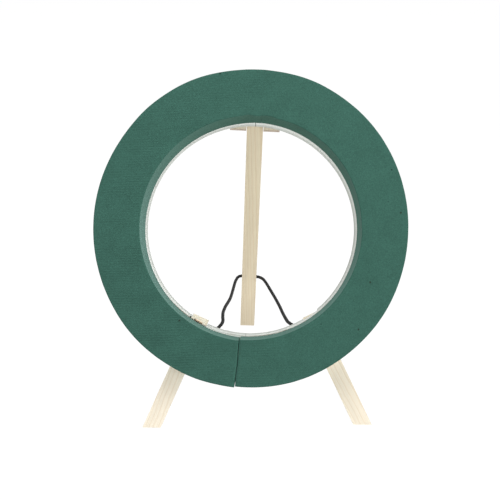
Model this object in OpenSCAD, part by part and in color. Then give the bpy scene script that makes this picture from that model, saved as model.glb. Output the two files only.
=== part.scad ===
// Standing wreath frame: a floral foam ring on a polystyrene base, held up by
// two fixed wooden legs in front and one hinged wooden leg behind, which a
// cord keeps from opening too far.
//
// Frame: +Z up, +X to the right seen from the front, the front faces -Y.
// The three feet stand on Z = 0.
// Ring frame: x to the right, y up along the ring, z out of the ring's front;
// z = 0 is the base's back face and the ring's centre is at x = y = 0.

/* [Ring] */
// Outer diameter of the ring
ring_d = 503; // [440:1:604]
// Radius of the hole where the foam meets the base
hole_r = 174; // [140:0.5:198]
// How much wider the hole's radius is at the foam's front face
foam_flare = 4.5; // [0:0.5:10]
// How much narrower the hole's radius is at the base's back face
base_taper = 3; // [0:0.5:8]
// Thickness of the foam
foam_t = 45; // [30:0.5:60]
// Thickness of the polystyrene base
base_t = 25; // [18:0.5:40]
// Thickness of the glue film between foam and base
film_t = 0.5; // [0.3:0.1:1]
// How far the glue film stays inside the foam's edges
film_inset = 3; // [1:0.5:8]
// How far the base's rim stays inside the foam's rim
base_inset = 1; // [0:0.5:4]

/* [Joints in the ring] */
// Turn of the foam's joint from upright, clockwise from the front
foam_joint_turn = 5; // [0:0.5:20]
// Foam trimmed from each half at its joint faces
foam_trim = 3; // [0.5:0.5:6]
// How far the left half sits lower along the joint
foam_step = 1.6; // [0:0.2:3]
// Width of the open joint at the bottom of the ring
foam_gap = 1; // [0.2:0.1:3]
// Turn of the base's joint from upright, clockwise from the front
base_joint_turn = 2; // [0:0.5:20]
// Polystyrene trimmed from each half at its joint faces
base_trim = 1; // [0.5:0.5:4]

/* [Stance] */
// Height of the ring's centre at the foam's front face
centre_h = 312.5; // [260:0.5:380]
// Lean of the ring back from upright
lean = 25; // [15:0.5:30]

/* [Wooden strips] */
// Width of the strip that every leg is cut from
strip_w = 27; // [20:0.5:33]
// Thickness of the strip
strip_t = 10; // [8:0.5:12]
// Play between a front leg and the sides of its channel
channel_play = 0.5; // [0.3:0.1:1.5]

/* [Front legs] */
// Where the left leg meets the hole, round the ring from straight down
left_at = 28.5; // [22:0.5:40]
// Splay of the left leg from the ring's upright
left_splay = 23.5; // [15:0.5:30]
// How far the left leg's end stands out into the hole
left_reach = 6.5; // [0:0.5:12]
// Where the right leg meets the hole, round the ring from straight down
right_at = 35.5; // [22:0.5:42]
// Splay of the right leg from the ring's upright
right_splay = 26; // [15:0.5:30]
// How far the right leg's end stands out into the hole
right_reach = 0.5; // [0:0.5:12]

/* [Rear leg and hinge] */
// Angle between the ring and the rear leg when it stands open
rear_open = 40; // [32:0.5:46]
// Sideways place of the hinge on the ring
hinge_x = 5.5; // [-20:0.5:20]
// Tilt of the hinge in the plane of the ring, clockwise from the front
hinge_skew = 2; // [0:0.5:4]
// Height of each hinge block
block_h = 45; // [36:1:70]
// Thickness of each hinge block
block_t = 12; // [11.5:0.5:18]
// How far the blocks hang below the hole's top edge
block_drop = 6; // [0:0.5:12]
// Height of the hinge nail above the blocks' lower edge
nail_up = 23; // [14:0.5:28]
// Gap between the rear leg's upper end and the base's back face
leg_gap = 1; // [0.5:0.1:3]
// Side play between the rear leg and each block
hinge_play = 0.7; // [0.3:0.1:1.5]
// Diameter of the hinge nail
nail_d = 3; // [2:0.5:4]
// Diameter of the hinge nail's head
nail_head_d = 7; // [5:0.5:9]
// Thickness of the hinge nail's head
nail_head_t = 1.4; // [0.8:0.1:2]
// Length of the hinge nail that stands out past the last block
nail_tip = 4; // [1:0.5:8]
// Radial play of the hinge nail in the rear leg
nail_play = 0.05; // [0.02:0.01:0.1]

/* [Cord] */
// Diameter of the cord
cord_d = 5; // [3:0.5:5.2]
// Distance of the cord below the hinge nail, along the rear leg
cord_down = 351; // [300:1:380]

/* [Staples and glue] */
// Diameter of the staple wire
wire_d = 1.2; // [0.8:0.1:1.6]
// How deep a cord staple goes into the wood
staple_depth = 6; // [3:0.5:7]
// Gap between the cord and the wood or the staple round it
cord_gap = 0.2; // [0.1:0.05:0.5]
// Radius of the beads of hot-melt glue
bead_r = 4; // [2:0.5:5]
// Size of the glue squeezed out between the left leg and the foam
squeeze_r = 1.2; // [0.6:0.1:2]

/* [Hidden] */

$fn = 96;
ring_r = ring_d / 2;
hole_front_r = hole_r + foam_flare;
hole_back_r = hole_r - base_taper;
foam_back = base_t + film_t;
ring_t = foam_back + foam_t;
far = 2 * ring_d;
left_back = base_t - strip_t;
right_back = 0;
touch_gap = 0.3;
long_bead = 40;
mid_bead = 30;
short_bead = 16;
squeeze_arc = 4;
left_staple = [-3.5, -60];
right_staple = [0, -38.7];
left_cord_turn = 48.4;
right_cord_turn = 37.1;
cord_sides = 10;
ring_gap = 14;
lay = cord_d / 2 + cord_gap;
half_w = strip_w / 2;
nail_v = hole_back_r - block_drop + nail_up;
block_x = half_w + hinge_play;
nose_r = strip_t / 2;
nail_back = nose_r + leg_gap;
foot_slope = rear_open - lean;

// The cord's centreline: [x, y] in the left leg's place with the ring's z, from
// the leg's back over the side of its channel to the base's back.
LEFT_END = [
  [-8, -65, left_back - lay], [0, -56, left_back - lay],
  [3, -51.5, 0.7 * left_back], [5, -49, 0.5 * left_back],
  [6.5, -47, 0.25 * left_back], [8, -44.5, 0], [9.5, -42, -2.5],
  [12.5, -38, -lay - 0.8], [19, -29.5, -lay - 0.6], [26, -18, -lay - 0.6],
  [31.5, -6.5, -lay - 2], [34, 0.5, -lay - 6.5],
];
// Round the rear leg, in its place, from its left side to its right side.
REAR_LOOP = [
  [-half_w - 11.5, 4, 12.5], [-half_w - 10, 1.5, 4],
  [-half_w - 7.5, 0.5, -3.5], [-half_w - 2, 0, -nose_r - lay - 0.3],
  [0, 0, -nose_r - lay],
  [half_w + 1, 0, -nose_r - lay - 0.3], [half_w + 7, 1.5, -4.5],
  [half_w + 10, 5, 2], [half_w + 12.5, 10, 10],
];
// From the base's back to the right leg's back, as for the left end.
RIGHT_END = [
  [-37.5, 3, -lay - 14.8], [-34, -3, -lay - 1.8], [-27.5, -13.5, -lay - 0.6],
  [-19, -23, -lay - 0.3], [-9.5, -31.5, -lay], [7, -44, -lay],
];
// Between those the cord hangs a little slack: how far along the straight
// line, how far to the right of it, and how far above it.
LEFT_SPAN = [
  [0.05, 1, 0], [0.17, -2, -1], [0.29, -4.5, -3], [0.42, -4.5, -4.5],
  [0.65, -1, -6], [0.8, -0.5, -4], [0.92, -0.5, -2],
];
RIGHT_SPAN = [
  [0.08, 1.5, 0], [0.21, 3, -2], [0.38, 5, -5.5], [0.55, 5.5, -7.5],
  [0.74, 3.5, -7], [0.89, 1.5, -4],
];

// Reach of the object in front of and behind the ring's front centre.
front_y = -ring_r * sin(lean);
nail_y = nail_v * sin(lean) + (ring_t + nail_back) * cos(lean);
nail_z = centre_h + nail_v * cos(lean) - (ring_t + nail_back) * sin(lean);
foot_y = nail_y + nail_z * tan(foot_slope) + nose_r / cos(foot_slope);
centre_y = -(front_y + foot_y) / 2;

module on_ring()
  translate([0, centre_y, centre_h])
    rotate([90 - lean, 0, 0])
      translate([0, 0, -ring_t])
        children();

module floor_cut()
  difference() {
    children();
    translate([-far, -far, -far])
      cube([2 * far, 2 * far, far]);
  }

// A whole ring whose hole narrows from front_r at the front to back_r.
module ring_solid(rim_r, front_r, back_r, thick)
  rotate_extrude($fn = 180)
    polygon([[back_r, 0], [rim_r, 0], [rim_r, thick], [front_r, thick]]);

// Half of a ring, side -1 left or 1 right, with trim cut off its joint face.
module half(side, trim)
  translate([-side * trim, 0, 0])
    intersection() {
      children();
      translate([side > 0 ? trim : -far - trim, -far, -far])
        cube([far, 2 * far, 2 * far]);
    }

module foam_half(side)
  color([0.25, 0.41, 0.37])
    on_ring()
      translate([0, 0, foam_back])
        rotate([0, 0, -foam_joint_turn])
          if (side < 0)
            translate([0, -foam_step, 0])
              half(side, foam_trim)
                ring_solid(ring_r, hole_front_r, hole_r, foam_t);
          else
            translate([0, ring_r, 0])
              rotate([0, 0, asin(foam_gap / ring_d)])
                translate([0, -ring_r, 0])
                  half(side, foam_trim)
                    ring_solid(ring_r, hole_front_r, hole_r, foam_t);

module foam_glue(side)
  color([0.85, 0.82, 0.7])
    on_ring()
      translate([0, 0, base_t])
        rotate([0, 0, -foam_joint_turn])
          half(side, foam_trim)
            ring_solid(
              ring_r - film_inset - foam_step,
              hole_r + film_inset,
              hole_r + film_inset,
              film_t
            );

// Places its children at a front leg's end in the hole: y up along the leg,
// with its back face at z = 0.
module at_leg_end(side, at, splay, reach, back)
  translate([
    side * (hole_back_r - reach) * sin(at),
    -(hole_back_r - reach) * cos(at),
    back
  ])
    rotate([0, 0, side * splay])
      children();

// A front leg's strip from its end in the hole outwards. With play it is the
// channel that the strip lies in, which runs on over past its end and back.
module leg_strip(side, at, splay, reach, back, play, over)
  at_leg_end(side, at, splay, reach, back)
    translate([-half_w - play, -far, -over])
      cube([strip_w + 2 * play, far + over, strip_t + over]);

module left_strip(play = 0, over = 0)
  leg_strip(-1, left_at, left_splay, left_reach, left_back, play, over);

module right_strip(play = 0, over = 0)
  leg_strip(1, right_at, right_splay, right_reach, right_back, play, over);

module base_half(side)
  color([0.9, 0.91, 0.89])
    on_ring()
      difference() {
        rotate([0, 0, -base_joint_turn])
          half(side, base_trim)
            ring_solid(ring_r - base_inset, hole_r, hole_back_r, base_t);
        if (side < 0)
          left_strip(channel_play, strip_w);
        else
          right_strip(channel_play, strip_w);
      }

module front_leg_left()
  color([0.92, 0.88, 0.78])
    floor_cut()
      on_ring()
        left_strip();

module front_leg_right()
  color([0.93, 0.88, 0.78])
    floor_cut()
      on_ring()
        right_strip();

// Places its children at the hinge: x along the nail, z out of the front.
module at_hinge()
  on_ring()
    translate([hinge_x, nail_v, -nail_back])
      rotate([0, 0, -hinge_skew])
        children();

module at_rear_leg()
  at_hinge()
    rotate([rear_open, 0, 0])
      children();

module rear_leg()
  color([0.84, 0.78, 0.66])
    floor_cut()
      at_rear_leg()
        difference() {
          union() {
            rotate([0, 90, 0])
              cylinder(r = nose_r, h = strip_w, center = true);
            translate([-half_w, -far, -nose_r])
              cube([strip_w, far, strip_t]);
          }
          rotate([0, 90, 0])
            cylinder(d = nail_d + 2 * nail_play, h = 2 * strip_w, center = true);
        }

module hinge_block(side)
  color([0.87, 0.79, 0.66])
    at_hinge()
      difference() {
        translate([
          side > 0 ? block_x : -block_x - strip_w,
          -nail_up,
          nail_back - block_t
        ])
          cube([strip_w, block_h, block_t]);
        rotate([0, 90, 0])
          cylinder(d = nail_d, h = far, center = true);
      }

// The nail goes in from the left, and its point stands out on the right.
module hinge_nail() {
  reach = block_x + strip_w;
  color([0.6, 0.6, 0.62])
    at_hinge()
      rotate([0, 90, 0])
        rotate_extrude($fn = 48)
          polygon([
            [0, -reach - nail_head_t],
            [nail_head_d / 2, -reach - nail_head_t],
            [nail_head_d / 2, -reach],
            [nail_d / 2, -reach],
            [nail_d / 2, reach + nail_tip - nail_d],
            [0, reach + nail_tip],
          ]);
}

// A bead of glue along y: the quarter of a rod between +x and +z, or the half
// of it above z = 0 where it lies flat across a joint.
module bead(long, flat = false)
  color([0.72, 0.5, 0.28])
    rotate([90, 0, 0])
      intersection() {
        cylinder(r = bead_r, h = long, center = true);
        translate([flat ? -far : 0, 0, -far])
          cube([2 * far, far, 2 * far]);
      }

// Two beads run along each hinge block's outer side, above and below the nail.
module block_glue(side) {
  clear = nail_head_d / 2 + touch_gap;
  above = block_h - nail_up - clear;
  below = nail_up - block_drop - clear;
  at_hinge()
    for (one = [[above, clear + above / 2], [below, -clear - below / 2]])
      translate([side * (block_x + strip_w), one[1], nail_back])
        rotate([0, side > 0 ? 90 : 180, 0])
          bead(one[0]);
}

// Two beads hold the left leg's back to the sides of its channel.
module leg_glue_left()
  on_ring()
    at_leg_end(-1, left_at, left_splay, left_reach, left_back) {
      translate([-half_w - channel_play, -10 - long_bead / 2, 0])
        rotate([0, 90, 0])
          bead(long_bead);
      translate([half_w + channel_play, -70 - short_bead / 2, 0])
        rotate([0, 180, 0])
          bead(short_bead);
    }

// Two beads lie across the joints between the right leg and its channel.
module leg_glue_right()
  on_ring()
    at_leg_end(1, right_at, right_splay, right_reach, right_back) {
      translate([-half_w, -44 - short_bead / 2, 0])
        rotate([0, 180, 0])
          bead(short_bead, true);
      translate([half_w, -50 - mid_bead / 2, 0])
        rotate([0, 180, 0])
          bead(mid_bead, true);
    }

// A thin arc of glue on the left leg's front, in the corner under the foam.
module squeezed_glue()
  color([0.6, 0.42, 0.25])
    on_ring()
      translate([0, 0, base_t])
        rotate([0, 0, 270 - left_at - squeeze_arc / 2])
          rotate_extrude(angle = squeeze_arc, $fn = 180)
            intersection() {
              translate([hole_r - touch_gap - squeeze_r, 0])
                circle(r = squeeze_r, $fn = 32);
              square(far);
            }

// A staple of round wire over something tall and wide, with the wood at z = 0.
module staple(wide, tall, deep)
  color([0.35, 0.35, 0.36]) {
    for (side = [-1, 1])
      translate([0, side * (wide - wire_d) / 2, -deep])
        cylinder(d = wire_d, h = deep + tall + wire_d / 2, $fn = 24);
    translate([0, 0, tall + wire_d / 2])
      rotate([90, 0, 0])
        cylinder(d = wire_d, h = wide, center = true, $fn = 24);
  }

module cord_staple()
  staple(cord_d + 2 * cord_gap + 2 * wire_d, cord_d + 2 * cord_gap, staple_depth);

module cord_staple_left()
  on_ring()
    at_leg_end(-1, left_at, left_splay, left_reach, left_back)
      translate(left_staple)
        rotate([0, 180, left_cord_turn])
          cord_staple();

module cord_staple_right()
  on_ring()
    at_leg_end(1, right_at, right_splay, right_reach, right_back)
      translate(right_staple)
        rotate([0, 180, -right_cord_turn])
          cord_staple();

module cord_staple_rear()
  at_rear_leg()
    translate([0, -cord_down, -nose_r])
      rotate([0, 180, 0])
        cord_staple();

// The same places as the modules above, for the points of the cord.
function turned(p, a) =
  [p.x * cos(a) - p.y * sin(a), p.x * sin(a) + p.y * cos(a), p.z];
function tilted(p, a) =
  [p.x, p.y * cos(a) - p.z * sin(a), p.y * sin(a) + p.z * cos(a)];
function from_ring(p) =
  tilted(p - [0, 0, ring_t], 90 - lean) + [0, centre_y, centre_h];
function from_leg(p, side, at, splay, reach) =
  from_ring(
    turned(p, side * splay)
    + (hole_back_r - reach) * [side * sin(at), -cos(at), 0]
  );
function from_rear(p) =
  from_ring(
    turned(tilted(p - [0, cord_down, 0], rear_open), -hinge_skew)
    + [hinge_x, nail_v, -nail_back]
  );
function span(a, b, list) =
  [for (p = list) a + p[0] * (b - a) + [p[1], 0, p[2]]];

LEFT = [for (p = LEFT_END) from_leg(p, -1, left_at, left_splay, left_reach)];
REAR = [for (p = REAR_LOOP) from_rear(p)];
RIGHT = [for (p = RIGHT_END) from_leg(p, 1, right_at, right_splay, right_reach)];
ROUTE = concat(
  LEFT,
  span(LEFT[len(LEFT) - 1], REAR[0], LEFT_SPAN),
  REAR,
  span(REAR[len(REAR) - 1], RIGHT[0], RIGHT_SPAN),
  RIGHT
);

// Smooth curve through the route: each stretch is a cubic whose slopes at its
// ends come from the neighbouring points, weighted by their distances.
function reach_to(i) = norm(ROUTE[i + 1] - ROUTE[i]);
function slope(i) =
  i == 0 ? (ROUTE[1] - ROUTE[0]) / reach_to(0)
  : i == len(ROUTE) - 1 ? (ROUTE[i] - ROUTE[i - 1]) / reach_to(i - 1)
  : ((ROUTE[i] - ROUTE[i - 1]) / reach_to(i - 1) * reach_to(i)
    + (ROUTE[i + 1] - ROUTE[i]) / reach_to(i) * reach_to(i - 1))
    / (reach_to(i - 1) + reach_to(i));
function on_route(i, t) =
  (2 * t ^ 3 - 3 * t ^ 2 + 1) * ROUTE[i]
  + (t ^ 3 - 2 * t ^ 2 + t) * reach_to(i) * slope(i)
  + (3 * t ^ 2 - 2 * t ^ 3) * ROUTE[i + 1]
  + (t ^ 3 - t ^ 2) * reach_to(i) * slope(i + 1);
function stations() = [
  for (i = [0 : len(ROUTE) - 2])
    let (parts = ceil(reach_to(i) / ring_gap))
      for (k = [0 : parts - 1]) on_route(i, k / parts),
  ROUTE[len(ROUTE) - 1],
];
function unit(v) = v / norm(v);

// A closed tube of cord_sides sides round the stations.
module stay_cord() {
  line = stations();
  last = len(line) - 1;
  rim = [
    for (i = [0 : last])
      let (
        ahead = unit(line[min(i + 1, last)] - line[max(i - 1, 0)]),
        aside = unit(cross(ahead, [0, 0, 1])),
        above = cross(aside, ahead)
      )
        for (k = [0 : cord_sides - 1])
          let (a = 360 * k / cord_sides)
            line[i] + cord_d / 2 * (cos(a) * aside + sin(a) * above)
  ];
  walls = [
    for (i = [0 : last - 1], k = [0 : cord_sides - 1])
      let (a = i * cord_sides + k, b = i * cord_sides + (k + 1) % cord_sides)
        each [[a, b, b + cord_sides], [a, b + cord_sides, a + cord_sides]]
  ];
  color([0.17, 0.17, 0.17])
    polyhedron(
      points = rim,
      faces = concat(
        walls,
        [[for (k = [0 : cord_sides - 1]) cord_sides - 1 - k]],
        [[for (k = [0 : cord_sides - 1]) last * cord_sides + k]]
      )
    );
}

foam_half(-1);  // foam_half_left
foam_half(1);  // foam_half_right
foam_glue(-1);  // foam_glue_left
foam_glue(1);  // foam_glue_right
base_half(-1);  // base_half_left
base_half(1);  // base_half_right
front_leg_left();
front_leg_right();
rear_leg();
hinge_block(-1);  // hinge_block_left
hinge_block(1);  // hinge_block_right
hinge_nail();
block_glue(-1);  // block_glue_left
block_glue(1);  // block_glue_right
leg_glue_left();
leg_glue_right();
squeezed_glue();
cord_staple_left();
cord_staple_right();
cord_staple_rear();
stay_cord();
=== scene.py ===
import math

import bmesh
import bpy
from mathutils import Matrix, Vector, noise


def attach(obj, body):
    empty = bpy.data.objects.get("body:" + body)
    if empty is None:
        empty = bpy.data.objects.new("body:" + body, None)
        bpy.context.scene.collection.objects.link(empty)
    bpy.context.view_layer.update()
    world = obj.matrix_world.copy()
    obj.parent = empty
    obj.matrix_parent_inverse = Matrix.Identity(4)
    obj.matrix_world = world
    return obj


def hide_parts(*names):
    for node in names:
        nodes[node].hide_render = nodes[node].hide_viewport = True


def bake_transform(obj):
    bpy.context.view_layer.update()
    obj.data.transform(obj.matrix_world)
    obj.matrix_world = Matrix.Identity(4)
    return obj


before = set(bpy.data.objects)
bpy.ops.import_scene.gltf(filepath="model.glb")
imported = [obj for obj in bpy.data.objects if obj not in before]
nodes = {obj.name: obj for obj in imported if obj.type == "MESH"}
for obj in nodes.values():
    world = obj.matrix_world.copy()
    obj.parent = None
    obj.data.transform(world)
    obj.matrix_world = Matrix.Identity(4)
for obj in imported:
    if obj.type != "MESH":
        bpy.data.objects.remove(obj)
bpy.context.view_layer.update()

# ---- The ring's own frame: x right, y up along the ring, z out of its front ----

MM = 0.001
LEAN = math.radians(25)
RING_R = 251.5 * MM
HOLE_FRONT_R = 178.5 * MM
HOLE_MID_R = 174 * MM
HOLE_BACK_R = 171 * MM
BASE_T = 25 * MM
FOAM_GLUE_T = 0.5 * MM
FOAM_T = 45 * MM
FOAM_BACK = BASE_T + FOAM_GLUE_T
RING_T = FOAM_BACK + FOAM_T
STRIP_W = 27 * MM
STRIP_T = 10 * MM
HINGE_PLAY = 0.7 * MM
HINGE_TURN = -2
REAR_LEG_OPEN = 40
CENTRE = Vector((0, -0.0841993, 0.3125))
RING = (
    Matrix.Translation(CENTRE)
    @ Matrix.Rotation(math.pi / 2 - LEAN, 4, "X")
    @ Matrix.Translation((0, 0, -RING_T))
)


def turn(degrees):
    return Matrix.Rotation(math.radians(degrees), 4, "Z")


def leg_place(side, at, splay, reach, back):
    """A front leg's place: y up along the leg from its end in the hole, z = 0 at its back."""
    r, a = HOLE_BACK_R - reach, math.radians(at)
    return (
        RING
        @ Matrix.Translation((side * r * math.sin(a), -r * math.cos(a), back))
        @ turn(side * splay)
    )


LEFT_LEG = leg_place(-1, 28.5, 23.5, 6.5 * MM, BASE_T - STRIP_T)
RIGHT_LEG = leg_place(1, 35.5, 26, 0.5 * MM, 0)
HINGE = RING @ Matrix.Translation((5.5 * MM, 188 * MM, -6 * MM)) @ turn(HINGE_TURN)
REAR_LEG = HINGE @ Matrix.Rotation(math.radians(REAR_LEG_OPEN), 4, "X")

# ---- Camera ----

FOCAL_PX = 951.3
IMAGE_PX = 500
CAMERA_DISTANCE = 1.5
CAMERA_AZIMUTH = math.radians(0.533)
CAMERA_ELEVATION = math.radians(23)
CAMERA_ROLL = math.radians(0.463)
AIM_RIGHT = 0.7 * MM
AIM_UP = -36.4 * MM

back = Vector((
    math.sin(CAMERA_AZIMUTH) * math.cos(CAMERA_ELEVATION),
    -math.cos(CAMERA_AZIMUTH) * math.cos(CAMERA_ELEVATION),
    math.sin(CAMERA_ELEVATION),
))
level = Vector((math.cos(CAMERA_AZIMUTH), math.sin(CAMERA_AZIMUTH), 0))
upward = back.cross(level)
right = level * math.cos(CAMERA_ROLL) + upward * math.sin(CAMERA_ROLL)
up = upward * math.cos(CAMERA_ROLL) - level * math.sin(CAMERA_ROLL)
camera_data = bpy.data.cameras.new("camera")
camera_data.sensor_width = 36
camera_data.lens = FOCAL_PX / IMAGE_PX * camera_data.sensor_width
camera = bpy.data.objects.new("camera", camera_data)
bpy.context.scene.collection.objects.link(camera)
camera_place = Matrix((right, up, back)).transposed().to_4x4()
camera_place.translation = CENTRE + back * CAMERA_DISTANCE - right * AIM_RIGHT + up * AIM_UP
camera.matrix_world = camera_place
bpy.context.scene.camera = camera

# ---- Mesh helpers ----


def new_piece(name, verts, faces, body, smooth=True, uvs=None):
    """Makes a mesh object, which rides on a body when one is given."""
    mesh = bpy.data.meshes.new(name)
    mesh.from_pydata([tuple(v) for v in verts], [], faces)
    if uvs is not None:
        layer = mesh.uv_layers.new(name="along")
        for loop in mesh.loops:
            layer.data[loop.index].uv = uvs[loop.vertex_index]
    mesh.polygons.foreach_set("use_smooth", [smooth] * len(mesh.polygons))
    mesh.update()
    obj = bpy.data.objects.new(name, mesh)
    bpy.context.scene.collection.objects.link(obj)
    if body:
        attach(obj, body)
    return obj


def recalculate(obj):
    """Turns every face outwards."""
    work = bmesh.new()
    work.from_mesh(obj.data)
    bmesh.ops.recalc_face_normals(work, faces=work.faces)
    work.to_mesh(obj.data)
    work.free()


def wobble(x, y=0.0, z=0.0):
    """Smooth noise between about -1 and 1."""
    return noise.noise(Vector((x, y, z)))


# ---- Materials ----


class Look:
    """A node material built up by short calls."""

    def __init__(self, name, roughness=0.6, specular=0.3):
        self.material = bpy.data.materials.new(name)
        self.material.use_nodes = True
        self.tree = self.material.node_tree
        self.shader = self.tree.nodes["Principled BSDF"]
        self.shader.inputs["Roughness"].default_value = roughness
        self.shader.inputs["Specular IOR Level"].default_value = specular

    def add(self, kind, links=(), operation=None, **values):
        node = self.tree.nodes.new(kind)
        if operation:
            node.operation = operation
        for key, value in values.items():
            if hasattr(node, key):
                setattr(node, key, value)
            else:
                node.inputs[key.replace("_", " ")].default_value = value
        for socket, source in dict(links).items():
            self.tree.links.new(source, node.inputs[socket])
        return node

    def math(self, operation, a, b=None, clamp=False):
        node = self.add("ShaderNodeMath", operation=operation, use_clamp=clamp)
        for index, value in enumerate((a, b)):
            if value is None:
                continue
            if isinstance(value, (int, float)):
                node.inputs[index].default_value = value
            else:
                self.tree.links.new(value, node.inputs[index])
        return node.outputs[0]

    def place(self, matrix, scale=(1, 1, 1)):
        """Object coordinates turned into the frame of matrix, then scaled."""
        source = self.add("ShaderNodeTexCoord").outputs["Object"]
        inverse = matrix.inverted()
        moved = self.add(
            "ShaderNodeMapping",
            {"Vector": source},
            Location=inverse.translation,
            Rotation=inverse.to_euler("XYZ"),
        ).outputs[0]
        if scale == (1, 1, 1):
            return moved
        return self.add("ShaderNodeMapping", {"Vector": moved}, Scale=scale).outputs[0]

    def noise(self, vector, scale, detail=2.0, roughness=0.5):
        node = self.add("ShaderNodeTexNoise", {"Vector": vector}, Scale=scale, Detail=detail)
        node.inputs["Roughness"].default_value = roughness
        return node.outputs[0]

    def ramp(self, source, *stops):
        node = self.add("ShaderNodeValToRGB", {"Fac": source})
        elements = node.color_ramp.elements
        while len(elements) < len(stops):
            elements.new(0.5)
        for element, (position, value) in zip(elements, stops):
            element.position = position
            element.color = (*value, 1) if isinstance(value, tuple) else (value,) * 3 + (1,)
        return node.outputs[0]

    def mix(self, factor, a, b, blend="MIX"):
        node = self.tree.nodes.new("ShaderNodeMix")
        node.data_type = "RGBA"
        node.blend_type = blend
        for index, value in ((0, factor), (6, a), (7, b)):
            if isinstance(value, (int, float)):
                node.inputs[index].default_value = value
            elif isinstance(value, tuple):
                node.inputs[index].default_value = (*value, 1)
            else:
                self.tree.links.new(value, node.inputs[index])
        return node.outputs[2]

    def bump(self, height, distance, strength=1.0, under=None):
        node = self.add("ShaderNodeBump", {"Height": height}, Distance=distance, Strength=strength)
        if under is not None:
            self.tree.links.new(under, node.inputs["Normal"])
        return node.outputs[0]

    def done(self, color, normal=None):
        self.tree.links.new(color, self.shader.inputs["Base Color"])
        if normal is not None:
            self.tree.links.new(normal, self.shader.inputs["Normal"])
        return self.material


def dress(obj, material):
    obj.data.materials.clear()
    obj.data.materials.append(material)


FOAM_FACE = (0.038, 0.107, 0.083)
FOAM_WALL = (0.0485, 0.119, 0.090)
FOAM_LIT_WALL = (0.109, 0.208, 0.178)
# Painted light on the walls: the lower and left walls are painted paler, as if lit from above and the
# right. Its amount at the ring's centre, and how much it grows per metre.
WALL_LIGHT_START = 0.815
WALL_LIGHT_GROWTH = (-1.05, -4.6, 0)
WIRE_TURN = 2
# The deepest pits in its face, each darkened with painted shade: (distance from the ring's centre, degrees
# round it).
FOAM_PITS = ((238 * MM, 6.1), (207.5 * MM, 335.8), (185 * MM, 233.5), (234 * MM, 317.1))
PIT_SIZE = 1.7 * MM


def painted_wall_light(look, here, color, grain):
    """Paints light on the lower and left walls of the hole: a paler colour, as if lit from above and the
    right.
    """
    lean = look.add("ShaderNodeVectorMath", {0: here}, operation="DOT_PRODUCT")
    lean.inputs[1].default_value = WALL_LIGHT_GROWTH
    amount = look.math("ADD", lean.outputs["Value"], WALL_LIGHT_START, clamp=True)
    # the paler colour is painted light, standing for light from above and the right
    lit_wall = look.mix(1.0, FOAM_LIT_WALL, look.ramp(grain, (0.25, 0.9), (0.75, 1.1)), "MULTIPLY")
    return look.mix(amount, color, lit_wall)


def wire_lines(look, here):
    """Wire-cut lines across the ring, clear on the left half and faint at the right."""
    wave = look.add(
        "ShaderNodeTexWave",
        {"Vector": look.place(RING @ turn(WIRE_TURN))},
        wave_type="BANDS",
        bands_direction="Y",
        Scale=80.0,
        Distortion=1.6,
        Detail=3.0,
    )
    wave.inputs["Detail Scale"].default_value = 0.6
    axes = look.add("ShaderNodeSeparateXYZ", {"Vector": here})
    leftward = look.math("MULTIPLY_ADD", axes.outputs["X"], -2.0)
    strength = look.ramp(leftward, (0.3, 0.12), (0.72, 1.0))
    patches = look.noise(look.place(RING, (18, 60, 18)), 1.0, 2)
    patchy = look.ramp(patches, (0.35, 0.15), (0.65, 1.0))
    return look.math("MULTIPLY", wave.outputs[1], look.math("MULTIPLY", strength, patchy))


def foam_look(name, green, lined):
    """Open-cell floral foam: fine cells, a few pits in painted shade and pale specks; wire-cut lines, or
    painted light on the walls.
    """
    look = Look(name, roughness=0.95, specular=0.1)
    here = look.place(RING)
    cells = look.noise(here, 900, 3, 0.7)
    dark, light = tuple(0.72 * c for c in green), tuple(1.3 * c for c in green)
    color = look.mix(look.ramp(cells, (0.3, 0.0), (0.7, 1.0)), dark, light)
    color = look.mix(0.6, color, green)
    grain = look.noise(here, 430, 2, 0.6)
    color = look.mix(1.0, color, look.ramp(grain, (0.25, 0.84), (0.75, 1.14)), "MULTIPLY")
    shade = look.noise(here, 30, 3)
    color = look.mix(1.0, color, look.ramp(shade, (0.3, 0.94), (0.7, 1.05)), "MULTIPLY")
    speck = look.ramp(look.noise(here, 420, 1), (0.70, 0.0), (0.76, 0.35))
    color = look.mix(speck, color, tuple(1.7 * c for c in green))
    normal = look.bump(cells, 0.0005, 0.7)
    if lined:
        lines = wire_lines(look, here)
        color = look.mix(1.0, color, look.ramp(lines, (0.0, 1.0), (1.0, 0.88)), "MULTIPLY")
        normal = look.bump(lines, 0.0004, 0.5, normal)
    else:
        # the walls get painted light: paler towards the bottom and the left
        color = painted_wall_light(look, here, color, grain)
    # Painted shade in the pits: darker spots over a shallow bump.
    spots = look.add("ShaderNodeTexVoronoi", {"Vector": here}, Scale=24.0)
    pit_depth_and_shade = look.ramp(spots.outputs["Distance"], (0.0, 0.0), (0.028, 0.0), (0.045, 1.0))
    color = look.mix(1.0, color, look.mix(pit_depth_and_shade, (0.45, 0.45, 0.45), (1.0, 1.0, 1.0)), "MULTIPLY")
    # the deepest pits in the face get a dark spot of painted shade
    if lined:
        for pit_at in FOAM_PITS:
            color = painted_hollow_shade(look, color, pit_at, PIT_SIZE)
    return look.done(color, look.bump(pit_depth_and_shade, 0.0008, 0.7, normal))


BASE_JOINT_TURN = 2
BASE_WALL_R = 174.6 * MM
# The band at the back of the hole's wall that is painted in shade.
SHADED_BACK_BAND = 12 * MM
# Crumbs broken out beside the left leg's end, painted as dark spots of shade in their hollows: (distance
# from the ring's centre, degrees round it).
BASE_CHIP = (173.4 * MM, 236.4)
BASE_CHIP_SIZE = 1.5 * MM
LEG_CHIP = (172.5 * MM, 239.2)
LEG_CHIP_SIZE = 1.1 * MM
# The colour of the shade painted into hollows, chips and pits.
HOLLOW_SHADE = (0.025, 0.048, 0.036)


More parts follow.
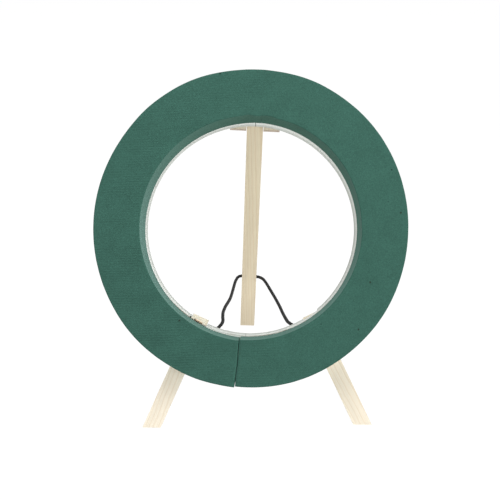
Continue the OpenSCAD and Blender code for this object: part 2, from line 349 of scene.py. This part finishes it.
def painted_hollow_shade(look, color, chip, size):
    """Paints shade into a ragged hollow: a dark spot at a place seen along the ring's axis."""
    radius, a = chip[0], math.radians(chip[1])
    away = look.add("ShaderNodeVectorMath", {0: look.place(RING, (1, 1, 0))}, operation="DISTANCE")
    away.inputs[1].default_value = (radius * math.cos(a), radius * math.sin(a), 0)
    ragged = look.math("MULTIPLY_ADD", look.noise(look.place(RING), 700, 1), 0.8)
    near = look.math("MULTIPLY", look.math("MULTIPLY", away.outputs["Value"], ragged), 1 / size)
    return look.mix(look.ramp(near, (0.7, 1.0), (0.95, 0.0)), color, HOLLOW_SHADE)


def base_joint(look, color):
    """Draws the joint between the base's halves as a thin dark line, clearest at the top."""
    turned = look.add("ShaderNodeSeparateXYZ", {"Vector": look.place(RING @ turn(-BASE_JOINT_TURN))})
    beside_mm = look.math("MULTIPLY", look.math("ABSOLUTE", turned.outputs["X"]), 1 / MM)
    near = look.ramp(beside_mm, (0.45, 1.0), (0.75, 0.0))
    upper = look.ramp(look.math("MULTIPLY_ADD", turned.outputs["Y"], 2.0), (0.4, 0.35), (0.6, 0.9))
    return look.mix(look.math("MULTIPLY", near, upper), color, (0.10, 0.11, 0.09))


def polystyrene_look():
    """Moulded bead foam: beads, painted shade on a band at the back of the hole, glue along the foam, a
    chip in painted shade.
    """
    look = Look("bead_foam", roughness=0.75, specular=0.2)
    here = look.place(RING)
    beads = look.add("ShaderNodeTexVoronoi", {"Vector": here}, Scale=260.0, feature="DISTANCE_TO_EDGE")
    seam = look.ramp(beads.outputs["Distance"], (0.0, 0.0), (0.12, 1.0))
    color = look.mix(seam, (0.70, 0.73, 0.69), (0.79, 0.815, 0.775))
    shade = look.noise(here, 40, 2)
    color = look.mix(1.0, color, look.ramp(shade, (0.3, 0.95), (0.7, 1.0)), "MULTIPLY")
    flat = look.place(RING, (1, 1, 0))
    radius = look.add("ShaderNodeVectorMath", {0: flat}, operation="LENGTH").outputs["Value"]
    on_wall = look.math("LESS_THAN", radius, BASE_WALL_R)
    height = look.add("ShaderNodeSeparateXYZ", {"Vector": here}).outputs["Z"]
    depth = look.math("DIVIDE", height, BASE_T)
    band = SHADED_BACK_BAND / BASE_T
    # Painted shade: the back band of the hole's wall is darkened, as it lies deeper in the hole.
    back_band_shade = look.math("MULTIPLY", look.ramp(depth, (band - 0.04, 1.0), (band + 0.04, 0.0)), on_wall)
    color = look.mix(back_band_shade, color, look.mix(1.0, color, (0.76, 0.76, 0.75), "MULTIPLY"))
    patchy = look.ramp(look.noise(here, 22, 2), (0.42, 0.0), (0.60, 0.75))
    glued = look.math("MULTIPLY", look.ramp(depth, (0.945, 0.0), (0.975, 1.0)), on_wall)
    color = look.mix(look.math("MULTIPLY", glued, patchy), color, (0.37, 0.32, 0.23))
    color = base_joint(look, color)
    # The chip beside the left leg's end is painted as a shaded hollow, on the front part of the wall only.
    at_front = look.ramp(depth, (0.55, 0.0), (0.62, 1.0))
    color = look.mix(at_front, color, painted_hollow_shade(look, color, BASE_CHIP, BASE_CHIP_SIZE))
    look.shader.inputs["Subsurface Weight"].default_value = 0.35
    look.shader.inputs["Subsurface Radius"].default_value = (0.01, 0.01, 0.01)
    return look.done(color, look.bump(seam, 0.0006, 0.5))


# The scale over which the painted shade at the blocks' lower ends fades out.
END_SHADE_REACH = 2.5 * MM


def pine_look(name, strip, tone=1.0, warm=0.0, seed=0.0, chip=None, shaded_sawn_end=None):
    """Sawn pine: growth rings round a slightly tilted heart, fine fibres, a dull planed face."""
    look = Look(name, roughness=0.62, specular=0.25)
    heart = Matrix.Translation(((14 + 5 * seed) * MM, 0, (-22 - 9 * seed) * MM)) @ turn(3.5 - seed)
    at = look.place(strip @ heart)
    rings = look.add(
        "ShaderNodeTexWave",
        {"Vector": at},
        wave_type="RINGS",
        rings_direction="Y",
        wave_profile="SAW",
        Scale=82.0,
        Distortion=2.4,
        Detail=3.0,
    )
    rings.inputs["Detail Scale"].default_value = 0.3
    rings.inputs["Phase Offset"].default_value = 2.1 * seed
    late = look.ramp(rings.outputs[1], (0.0, 0.0), (0.62, 0.12), (0.93, 1.0), (1.0, 0.0))
    fibres = look.noise(look.place(strip, (900, 24, 900)), 1.0, 4, 0.65)
    broad = look.noise(look.place(strip, (60, 5, 60)), 1.0, 2)
    pale = (0.88 * tone, (0.80 - 0.04 * warm) * tone, (0.66 - 0.12 * warm) * tone)
    dark = (0.72 * tone, (0.57 - 0.05 * warm) * tone, (0.38 - 0.08 * warm) * tone)
    color = look.mix(look.math("MULTIPLY", late, 0.42), pale, dark)
    color = look.mix(1.0, color, look.ramp(fibres, (0.3, 0.93), (0.7, 1.03)), "MULTIPLY")
    color = look.mix(1.0, color, look.ramp(broad, (0.3, 0.94), (0.7, 1.03)), "MULTIPLY")
    # A chip painted as a dark, shaded hollow.
    if chip:
        color = painted_hollow_shade(look, color, chip, LEG_CHIP_SIZE)
    if shaded_sawn_end is not None:
        # The end grain is darker and redder than the planed faces. It is also painted darker still as
        # shade, on the lower end and a thin strip above it.
        along = look.add("ShaderNodeSeparateXYZ", {"Vector": look.place(strip)}).outputs["Y"]
        past = look.math("DIVIDE", look.math("SUBTRACT", along, shaded_sawn_end), END_SHADE_REACH)
        color = look.mix(look.ramp(past, (0.15, 1.0), (0.5, 0.0)), color, (0.46, 0.37, 0.29))
    normal = look.bump(fibres, 0.0003, 0.5)
    normal = look.bump(late, 0.0002, 0.4, normal)
    return look.done(color, normal)


def metal_look(name, color, roughness):
    """Drawn wire: fine streaks of darker metal."""
    look = Look(name, roughness=roughness)
    look.shader.inputs["Metallic"].default_value = 1.0
    here = look.place(Matrix.Identity(4))
    drawn = look.noise(here, 1500, 3)
    shade = look.mix(look.ramp(drawn, (0.35, 0.0), (0.65, 1.0)), tuple(0.7 * c for c in color), color)
    return look.done(shade, look.bump(drawn, 0.0001, 0.4))


def glue_look(name, color, roughness=0.25):
    """Set glue: cloudy and a little translucent."""
    look = Look(name, roughness=roughness, specular=0.5)
    here = look.place(Matrix.Identity(4))
    cloud = look.noise(here, 220, 3)
    shade = look.mix(look.ramp(cloud, (0.35, 0.0), (0.7, 1.0)), tuple(0.7 * c for c in color), color)
    look.shader.inputs["Subsurface Weight"].default_value = 0.3
    look.shader.inputs["Subsurface Radius"].default_value = (0.003, 0.002, 0.001)
    return look.done(shade, look.bump(cloud, 0.0005, 0.5))


def cord_look():
    """Black twisted yarn: fine yarns run round each strand, with painted glints along them."""
    look = Look("black_cord", roughness=0.75, specular=0.35)
    uv = look.add("ShaderNodeUVMap", uv_map="along").outputs[0]
    yarn = look.add(
        "ShaderNodeTexWave",
        {"Vector": uv},
        wave_type="BANDS",
        bands_direction="DIAGONAL",
        Scale=1.2,
        Distortion=0.6,
        Detail=2.0,
    )
    fuzz = look.noise(look.place(Matrix.Identity(4)), 1800, 2)
    # Painted glints: the yarn bands are painted lighter where they would catch the light.
    lit = look.ramp(yarn.outputs[1], (0.1, 0.0), (0.9, 1.0))
    color = look.mix(lit, (0.004, 0.004, 0.004), (0.022, 0.022, 0.023))
    color = look.mix(look.ramp(fuzz, (0.60, 0.0), (0.85, 0.5)), color, (0.05, 0.05, 0.052))
    look.shader.inputs["Sheen Weight"].default_value = 0.05
    normal = look.bump(yarn.outputs[1], 0.0004, 0.7)
    return look.done(color, look.bump(fuzz, 0.0003, 0.5, normal))


# ---- Cord ----

CORD_D = 5 * MM
# Three soft strands press into each other. The circle round them is wider than the cord's mean
# diameter, because its outline dips between the strands.
ROPE_R = 1.18 * CORD_D / 2
STRAND_R = 0.62 * ROPE_R
STRAND_OUT = ROPE_R - STRAND_R
CORD_LEAD = 19 * MM
CORD_STEP = 1.6 * MM
STRAND_SIDES = 10

# The route settled in CAD, in metres.
ROUTE = [
    (-0.1117, -0.1164, 0.1057), (-0.1008, -0.1143, 0.1103), (-0.0963, -0.1114, 0.1122),
    (-0.0934, -0.1080, 0.1123), (-0.0913, -0.1041, 0.1119), (-0.0889, -0.1000, 0.1118),
    (-0.0865, -0.0970, 0.1123), (-0.0822, -0.0951, 0.1141), (-0.0728, -0.0930, 0.1189),
    (-0.0618, -0.0898, 0.1259), (-0.0522, -0.0850, 0.1329), (-0.0471, -0.0786, 0.1359),
    (-0.0452, -0.0675, 0.1348), (-0.0460, -0.0410, 0.1310), (-0.0464, -0.0144, 0.1263),
    (-0.0440, 0.0144, 0.1218), (-0.0364, 0.0653, 0.1151), (-0.0332, 0.0985, 0.1137),
    (-0.0310, 0.1251, 0.1129), (-0.0290, 0.1428, 0.1131), (-0.0274, 0.1516, 0.1128),
    (-0.0248, 0.1591, 0.1137), (-0.0192, 0.1635, 0.1142), (-0.0037, 0.1629, 0.1137),
    (0.0108, 0.1630, 0.1133), (0.0167, 0.1592, 0.1136), (0.0197, 0.1519, 0.1152),
    (0.0221, 0.1429, 0.1179), (0.0270, 0.1259, 0.1194), (0.0339, 0.0984, 0.1199),
    (0.0430, 0.0624, 0.1197), (0.0507, 0.0264, 0.1209), (0.0566, -0.0139, 0.1251),
    (0.0609, -0.0456, 0.1309), (0.0640, -0.0689, 0.1371), (0.0698, -0.0823, 0.1391),
    (0.0802, -0.0862, 0.1336), (0.0920, -0.0885, 0.1294), (0.1043, -0.0902, 0.1263),
    (0.1246, -0.0919, 0.1227),
]


def smooth_line(points, step):
    """Points a step apart on the smooth curve through points, as the CAD cord runs."""
    p = [Vector(q) for q in points]
    reach = [(b - a).length for a, b in zip(p, p[1:])]
    slopes = [(p[1] - p[0]) / reach[0]]
    for i in range(1, len(p) - 1):
        before, after = (p[i] - p[i - 1]) / reach[i - 1], (p[i + 1] - p[i]) / reach[i]
        slopes.append((before * reach[i] + after * reach[i - 1]) / (reach[i] + reach[i - 1]))
    slopes.append((p[-1] - p[-2]) / reach[-1])
    line = []
    for i, gap in enumerate(reach):
        count = max(1, round(gap / step))
        for k in range(count):
            t = k / count
            line.append(
                (2 * t ** 3 - 3 * t ** 2 + 1) * p[i]
                + (t ** 3 - 2 * t ** 2 + t) * gap * slopes[i]
                + (3 * t ** 2 - 2 * t ** 3) * p[i + 1]
                + (t ** 3 - t ** 2) * gap * slopes[i + 1]
            )
    return line + [p[-1]]


def carried_frames(line):
    """Two directions across the line at every point, carried along without twist."""
    ahead = [(line[min(i + 1, len(line) - 1)] - line[max(i - 1, 0)]).normalized() for i in range(len(line))]
    aside = ahead[0].orthogonal().normalized()
    result = []
    for i, forward in enumerate(ahead):
        if i:
            aside = ahead[i - 1].rotation_difference(forward) @ aside
            aside = (aside - forward * aside.dot(forward)).normalized()
        result.append((aside, forward.cross(aside)))
    return result


cord_line = smooth_line(ROUTE, CORD_STEP)
cord_across = carried_frames(cord_line)


def strand_mesh(index):
    """One of the cord's three strands as a closed tube that winds round the line."""
    centres, run = [], 0.0
    for i, point in enumerate(cord_line):
        if i:
            run += (point - cord_line[i - 1]).length
        a = 2 * math.pi * (run / CORD_LEAD + index / 3)
        aside, above = cord_across[i]
        loose = 1 + 0.05 * wobble(run * 60, index * 7.0)
        centres.append(point + STRAND_OUT * loose * (math.cos(a) * aside + math.sin(a) * above))
    across = carried_frames(centres)
    verts, uvs, faces, run = [], [], [], 0.0
    last = len(centres) - 1
    for i, centre in enumerate(centres):
        if i:
            run += (centre - centres[i - 1]).length
        aside, above = across[i]
        end = min(i, last - i)
        size = STRAND_R * (0.35 if end == 0 else 0.8 if end == 1 else 1.0)
        for k in range(STRAND_SIDES):
            a = 2 * math.pi * k / STRAND_SIDES
            fat = size * (1 + 0.05 * wobble(run * 250, k * 3.1, index * 5.0))
            verts.append(centre + fat * (math.cos(a) * aside + math.sin(a) * above))
            # across the strand the pattern runs there and back, so that it closes
            uvs.append((run / (2 * STRAND_R), 1 - abs(1 - 2 * k / STRAND_SIDES)))
    for i in range(last):
        for k in range(STRAND_SIDES):
            a, b = i * STRAND_SIDES + k, i * STRAND_SIDES + (k + 1) % STRAND_SIDES
            faces.append((a, b, b + STRAND_SIDES, a + STRAND_SIDES))
    faces.append(tuple(reversed(range(STRAND_SIDES))))
    faces.append(tuple(last * STRAND_SIDES + k for k in range(STRAND_SIDES)))
    return verts, faces, uvs


def make_cord():
    """The stay cord as one mesh of three strands, taut between its staples."""
    verts, faces, uvs = [], [], []
    for index in range(3):
        v, f, uv = strand_mesh(index)
        faces += [tuple(i + len(verts) for i in face) for face in f]
        verts += v
        uvs += uv
    cord = new_piece("twisted_cord", verts, faces, None, uvs=uvs)
    dress(cord, cord_look())
    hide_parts("stay_cord")
    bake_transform(cord)


make_cord()

# ---- Foam ----

FOAM_TRIM = 3 * MM
FOAM_STEP = 1.6 * MM
FOAM_GAP = 1 * MM
FOAM_JOINT_TURN = 5
FOAM_EDGE = 1.0 * MM
ROUND_STEPS = 340


def foam_profile():
    """The foam's cross-section as (radius, z, name of its edge), with crumbled round corners."""
    loop = []

    def stretch(a, b, count, kind):
        for k in range(count):
            t = (k + 0.5) / count
            loop.append((a[0] + (b[0] - a[0]) * t, a[1] + (b[1] - a[1]) * t, kind))

    def corner(r, z, start):
        for k in range(4):
            a = math.radians(start - 90 * k / 3)
            loop.append((r + FOAM_EDGE * math.cos(a), z + FOAM_EDGE * math.sin(a), "edge"))

    e = FOAM_EDGE
    stretch((HOLE_MID_R, FOAM_BACK), (HOLE_FRONT_R, RING_T - e), 9, "wall")
    corner(HOLE_FRONT_R + e, RING_T - e, 180)
    stretch((HOLE_FRONT_R + e, RING_T), (RING_R - e, RING_T), 22, "front")
    corner(RING_R - e, RING_T - e, 90)
    stretch((RING_R, RING_T - e), (RING_R, FOAM_BACK), 9, "rim")
    stretch((RING_R - e, FOAM_BACK), (HOLE_MID_R + e, FOAM_BACK), 6, "back")
    return loop


def bell(x, centre, width):
    """1 at the centre, fading smoothly to 0 a few widths away."""
    return math.exp(-(((x - centre) / width) ** 2))


# Where the hand-cut rim stands out past the true circle: (degrees, how wide, mm).
RIM_BULGES = (
    (42, 26, 2.0), (68, 10, 0.9), (113, 15, 2.9), (132, 9, 1.4),
    (226, 20, 1.7), (250, 8, 0.9), (290, 22, 2.4), (325, 17, 1.5),
)
# Where the hole's front edge is cut too wide or too narrow: (degrees, how wide, mm).
HOLE_WAVES = (
    (92.2, 2.2, 1.6), (87.1, 2.2, -1.6), (81.6, 2.4, 1.0), (75.8, 2.6, -1.9), (71, 2.2, -1.1),
    (16, 20, -1.4), (58, 10, -1.0), (215, 50, -0.7),
)
# The foam's hole is cut a little off centre at its back.
HOLE_SHIFT = Vector((0.7, -0.9, 0)) * MM


def edge_error(kind, degrees):
    """How far the hand-cut foam strays from the true circle, outwards, in mm."""
    degrees %= 360
    if kind == "outer":
        bulges = sum(size * bell(degrees, at, width) for at, width, size in RIM_BULGES)
        return bulges - 0.2 + 0.2 * wobble(degrees * 0.05, 3.0) + 0.12 * wobble(degrees * 0.3, 9.0)
    waves = sum(size * bell(degrees, at, width) for at, width, size in HOLE_WAVES)
    return waves + 0.3 * wobble(degrees * 0.06, 17.0) + 0.15 * wobble(degrees * 0.35, 23.0)


BROKEN_ARRIS = 0.6 * MM
# The lower joint isn't cut straight: it bows sideways at one radius.
JOINT_BOW = 0.9 * MM
JOINT_BOW_R = 214 * MM
JOINT_BOW_WIDTH = 14 * MM
JOINT_SHIFT = 0.45 * MM
FACE_SWELL = 0.12 * MM


def foam_half_place(side):
    """A half's place in the ring: the left one a step lower, the right one swung to open the gap."""
    turned = turn(-FOAM_JOINT_TURN)
    if side < 0:
        return turned @ Matrix.Translation((0, -FOAM_STEP, 0))
    top = Matrix.Translation((0, RING_R, 0))
    opened = turn(math.degrees(math.asin(FOAM_GAP / (2 * RING_R))))
    return turned @ top @ opened @ top.inverted()


def foam_point(side, column, r, z, kind):
    """A profile point carried to a column, from 0 at the half's top end to ROUND_STEPS below."""
    part = column / ROUND_STEPS
    end = min(column, ROUND_STEPS - column)
    # the halves meet flush at the top, so only the lower ends' arrises are broken
    broken = BROKEN_ARRIS if part > 0.5 else 0.0
    if end == 0:
        r += max(-broken, min(broken, (HOLE_MID_R + RING_R) / 2 - r))
        z += max(-broken, min(broken, (FOAM_BACK + RING_T) / 2 - z))
    half = math.acos(min(1.0, FOAM_TRIM / r))
    a = half - 2 * half * part
    x, y = r * math.cos(a) - FOAM_TRIM, r * math.sin(a)
    if end == 1 and broken:
        x = broken
    point = Vector((side * x, y, z))
    degrees = math.degrees(math.atan2(y, side * x)) - FOAM_JOINT_TURN
    across = (r - HOLE_MID_R) / (RING_R - HOLE_MID_R)
    near_rim, near_hole = max(0.0, across * 2 - 1), max(0.0, 1 - across * 4)
    forward = (z - FOAM_BACK) / (RING_T - FOAM_BACK)
    stray = edge_error("outer", degrees) * near_rim
    stray += edge_error("inner", degrees) * near_hole * forward
    point += Vector((point.x, point.y, 0)).normalized() * stray * MM
    point += HOLE_SHIFT * near_hole * (1 - forward)
    near_top, near_joint = bell(part, 0.0, 0.06), bell(part, 1.0, 0.02)
    point.y -= side * near_top * FOAM_STEP / 2
    point.x += near_joint * (JOINT_BOW * bell(r, JOINT_BOW_R, JOINT_BOW_WIDTH) - JOINT_SHIFT)
    if kind in ("front", "edge"):
        point.z += FACE_SWELL * wobble(point.x * 60, point.y * 60, side * 4.0) * (1 - near_top)
    return point


def dress_foam(mesh, profile, face_look, wall_look):
    """Gives the walls and cut ends their own material, and keeps the ends' edges sharp."""
    mesh.materials.append(face_look)
    mesh.materials.append(wall_look)
    count = len(profile)
    last_column = ROUND_STEPS * count
    for polygon in mesh.polygons:
        cut = len(polygon.vertices) > 4
        kind = profile[min(polygon.vertices) % count][2]
        polygon.use_smooth = not cut
        polygon.material_index = 1 if cut or kind in ("wall", "rim") else 0
    for edge in mesh.edges:
        a, b = edge.vertices
        edge.use_edge_sharp = max(a, b) < count or min(a, b) >= last_column


def make_foam(side, name, face_look, wall_look):
    """One half of the foam: the profile carried round, closed by the two cut ends."""
    profile = foam_profile()
    count = len(profile)
    half_place = RING @ foam_half_place(side)
    verts, faces = [], []
    for column in range(ROUND_STEPS + 1):
        verts += [half_place @ foam_point(side, column, r, z, kind) for r, z, kind in profile]
    for i in range(ROUND_STEPS):
        for k in range(count):
            a, b = i * count + k, i * count + (k + 1) % count
            faces.append((a, b, b + count, a + count))
    faces.append(tuple(range(count)))
    faces.append(tuple(ROUND_STEPS * count + k for k in reversed(range(count))))
    foam = new_piece(name, verts, faces, "frame")
    recalculate(foam)
    dress_foam(foam.data, profile, face_look, wall_look)
    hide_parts("foam_half_left" if side < 0 else "foam_half_right")


face_foam = foam_look("floral_foam_face", FOAM_FACE, True)
wall_foam = foam_look("floral_foam_wall", FOAM_WALL, False)
for side, name in ((-1, "cut_foam_left"), (1, "cut_foam_right")):
    make_foam(side, name, face_foam, wall_foam)

# ---- CAD pieces that keep their shape ----


SHARP_ANGLE = math.radians(30)


def refine(node, width, segments=3):
    """Merges the CAD triangles into flat faces and breaks the edges."""
    obj = nodes[node]
    flat = obj.modifiers.new("flat_faces", "DECIMATE")
    flat.decimate_type = "DISSOLVE"
    flat.angle_limit = math.radians(0.5)
    soft = obj.modifiers.new("broken_edges", "BEVEL")
    soft.width = width
    soft.segments = segments
    soft.limit_method = "ANGLE"
    soft.angle_limit = SHARP_ANGLE
    return obj


# The blocks' lower ends, measured from the nail; shade is painted on and just above them.
BLOCK_END = -23 * MM
BLOCK_OUT = STRIP_W + HINGE_PLAY
BLOCKS = {
    "hinge_block_left": HINGE @ Matrix.Translation((-BLOCK_OUT, 0, 0)),
    "hinge_block_right": HINGE @ Matrix.Translation((BLOCK_OUT, 0, 0)),
}
dress(refine("front_leg_left", 0.5 * MM), pine_look("pine_left_leg", LEFT_LEG, 1.04, 0.0, 0.2, LEG_CHIP))
dress(refine("front_leg_right", 0.7 * MM), pine_look("pine_right_leg", RIGHT_LEG, 0.99, 0.1, 1.1))
dress(refine("rear_leg", 0.4 * MM), pine_look("pine_rear_leg", REAR_LEG, 0.84, 0.8, 0.6))
for seed, (name, strip) in enumerate(BLOCKS.items()):
    pine = pine_look("pine_" + name, strip, 0.80, 0.3, 2.0 + seed, shaded_sawn_end=BLOCK_END)
    dress(refine(name, 0.3 * MM), pine)

base_material = polystyrene_look()
for name in ("base_half_left", "base_half_right"):
    dress(refine(name, 1.5 * MM, 4), base_material)

steel = metal_look("bright_nail", (0.62, 0.62, 0.63), 0.35)
wire = metal_look("staple_wire", (0.45, 0.45, 0.47), 0.4)
dress(refine("hinge_nail", 0.3 * MM, 2), steel)
for name in ("cord_staple_left", "cord_staple_right", "cord_staple_rear"):
    dress(refine(name, 0.2 * MM, 2), wire)

amber = glue_look("hot_melt", (0.55, 0.34, 0.13))
film = glue_look("foam_glue", (0.62, 0.58, 0.42), 0.5)
for name in ("block_glue_left", "block_glue_right", "leg_glue_left", "leg_glue_right"):
    dress(refine(name, 0.8 * MM, 3), amber)
dress(refine("squeezed_glue", 0.4 * MM, 3), glue_look("squeezed_hot_melt", (0.64, 0.46, 0.31)))
for name in ("foam_glue_left", "foam_glue_right"):
    dress(nodes[name], film)

# ---- Floor and light ----

FLOOR_SIZE = 30.0
FLOOR_GLOW = 0.985
WORLD_GLOW = 0.17
floor = new_piece(
    "floor",
    [(x * FLOOR_SIZE, y * FLOOR_SIZE, 0) for x, y in ((-1, -1), (1, -1), (1, 1), (-1, 1))],
    [(0, 1, 2, 3)],
    None,
    smooth=False,
)
# The floor is a lit white table, so it stays white and the object hardly shades it.
floor_look = Look("pale_floor", roughness=0.9, specular=0.1)
paper = floor_look.noise(floor_look.place(Matrix.Identity(4)), 40, 2)
floor_look.shader.inputs["Emission Color"].default_value = (1, 1, 1, 1)
floor_look.shader.inputs["Emission Strength"].default_value = FLOOR_GLOW
dress(floor, floor_look.done(floor_look.ramp(paper, (0.3, 0.05), (0.7, 0.06))))

world = bpy.data.worlds.new("studio")
world.use_nodes = True
world.node_tree.nodes["Background"].inputs["Color"].default_value = (1, 1, 1, 1)
world.node_tree.nodes["Background"].inputs["Strength"].default_value = WORLD_GLOW
bpy.context.scene.world = world


def softbox(name, position, target, size, power):
    """A soft area light that faces its target."""
    data = bpy.data.lights.new(name, "AREA")
    data.shape = "RECTANGLE"
    data.size, data.size_y = size
    data.energy = power
    light = bpy.data.objects.new(name, data)
    bpy.context.scene.collection.objects.link(light)
    light.location = position
    light.rotation_mode = "QUATERNION"
    light.rotation_quaternion = (Vector(target) - Vector(position)).to_track_quat("-Z", "Y")


softbox("key", (2.2, -0.2, 0.6), CENTRE, (1.2, 1.2), 42)
softbox("overhead", (0.1, -0.1, 2.4), CENTRE, (2.0, 2.0), 50)
softbox("high_left", (-1.4, -0.8, 2.0), CENTRE, (1.4, 1.4), 8)
softbox("front", (0.2, -2.2, 1.0), CENTRE, (1.6, 1.0), 19)

bpy.context.scene.view_settings.view_transform = "Standard"
